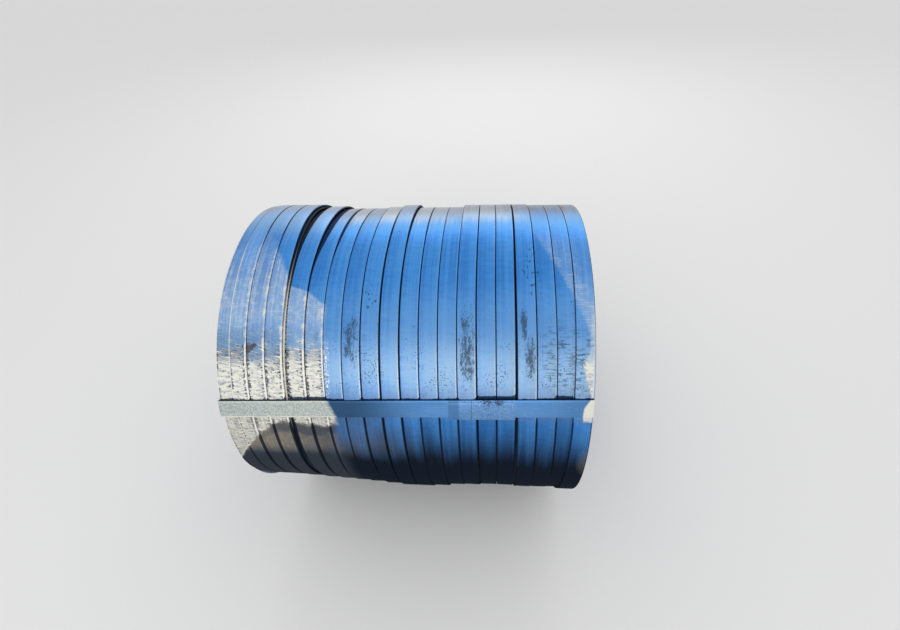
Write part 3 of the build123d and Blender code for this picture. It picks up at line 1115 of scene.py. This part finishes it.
class COIL_OT_straps(bpy.types.Operator):
    """Binds the coil with its three straps, each lapped and welded."""

    bl_idname = "coil.straps"
    bl_label = "Bind the straps"

    def execute(self, context):
        sizes, colours = context.scene.coil_sizes, context.scene.coil_colours
        model = self.make_strap(sizes, paint_strap(colours), paint_weld(colours))
        centre = Matrix.Translation((0, 0, AXIS_HEIGHT))
        places = {"strap_front": sizes.front_angle, "strap_rear": sizes.rear_angle,
                  "strap_bottom": sizes.bottom_angle}
        for node, angle in places.items():
            band = model
            if node != "strap_bottom":
                band = model.copy()
                band.data = model.data.copy()
                context.scene.collection.objects.link(band)
            if node == "strap_front":
                climb = math.tan(sizes.front_skew)
                for vertex in band.data.vertices:
                    vertex.co.y += climb * vertex.co.x
            turn = math.radians(90) - angle
            band.data.transform(centre @ Matrix.Rotation(turn, 4, "X") @ centre.inverted())
            band.name = band.data.name = node + "_band"
            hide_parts(node)
            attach(band, "root")
        return {"FINISHED"}

    def make_strap(self, sizes, steel, weld):
        """One strap at angle 90: its band, its lap and the welds on that."""
        parts = [bend_strap("strap", sizes), lap_plate("lap", sizes)]
        for part in parts:
            part.data.materials.append(steel)
        for x, scale in WELDS:
            bead = weld_bead("weld", x, sizes, scale)
            bead.data.materials.append(weld)
            parts.append(bead)
        pick(*parts)
        bpy.ops.object.join()
        pick(parts[0])
        bpy.ops.object.shade_smooth_by_angle(angle=math.radians(25))
        return parts[0]


class COIL_OT_stage(bpy.types.Operator):
    """Sets a pale floor, soft studio light and the camera."""

    bl_idname = "coil.stage"
    bl_label = "Set the stage"

    def execute(self, context):
        stage = context.scene.coil_stage
        floor = begin("floor", bpy.ops.mesh.primitive_plane_add, size=30)
        paint = bpy.data.materials.new("floor")
        paint.use_nodes = True
        shader = paint.node_tree.nodes["Principled BSDF"]
        shader.inputs["Base Color"].default_value = stage.floor
        shader.inputs["Roughness"].default_value = 0.9
        floor.data.materials.append(paint)

        world = bpy.data.worlds.new("studio")
        world.use_nodes = True
        world.node_tree.nodes["Background"].inputs["Color"].default_value = (1, 1, 1, 1)
        world.node_tree.nodes["Background"].inputs["Strength"].default_value = stage.sky
        context.scene.world = world
        self.soft_box("front_box", (-0.3, -2.9, 1.95), (2.8, 1.7), stage.lamp_power)
        self.soft_box("rear_box", (0.2, 3.0, 2.1), (3.2, 1.5), stage.lamp_power)

        camera = bpy.data.objects.new("camera", bpy.data.cameras.new("camera"))
        context.scene.collection.objects.link(camera)
        camera.location, camera.rotation_euler = stage.camera_place, stage.camera_turn
        camera.data.sensor_width, camera.data.lens = 36, stage.lens
        camera.data.clip_start = 0.01
        context.scene.camera = camera
        context.scene.view_settings.view_transform = "Standard"
        return {"FINISHED"}

    def soft_box(self, name, place, size, power):
        """A wide lamp that faces the coil's middle."""
        lamp = bpy.data.lights.new(name, "AREA")
        lamp.shape, lamp.energy = "RECTANGLE", power
        lamp.size, lamp.size_y = size
        box = bpy.data.objects.new(name, lamp)
        bpy.context.scene.collection.objects.link(box)
        box.location = place
        aim = Vector((0, 0, AXIS_HEIGHT)) - box.location
        box.rotation_euler = aim.to_track_quat("-Z", "Y").to_euler()


class COIL_PT_panel(bpy.types.Panel):
    """Sizes, colours and steps of the coil."""

    bl_label = "Coil"
    bl_idname = "COIL_PT_panel"
    bl_space_type = "VIEW_3D"
    bl_region_type = "UI"
    bl_category = "Coil"

    def draw(self, context):
        for group in (context.scene.coil_sizes, context.scene.coil_colours, context.scene.coil_stage):
            for key in group.__annotations__:
                self.layout.prop(group, key)
        for operator in (COIL_OT_wound_strip, COIL_OT_straps, COIL_OT_stage):
            self.layout.operator(operator.bl_idname)


CLASSES = (CoilSizes, CoilColours, CoilStage, COIL_OT_wound_strip, COIL_OT_straps, COIL_OT_stage,
           COIL_PT_panel)


def register():
    for cls in CLASSES:
        bpy.utils.register_class(cls)
    bpy.types.Scene.coil_sizes = PointerProperty(type=CoilSizes)
    bpy.types.Scene.coil_colours = PointerProperty(type=CoilColours)
    bpy.types.Scene.coil_stage = PointerProperty(type=CoilStage)


def unregister():
    del bpy.types.Scene.coil_stage, bpy.types.Scene.coil_colours, bpy.types.Scene.coil_sizes
    for cls in reversed(CLASSES):
        bpy.utils.unregister_class(cls)


def main():
    register()
    bpy.ops.coil.wound_strip()
    bpy.ops.coil.straps()
    bpy.ops.coil.stage()


if __name__ == "__main__":
    main()
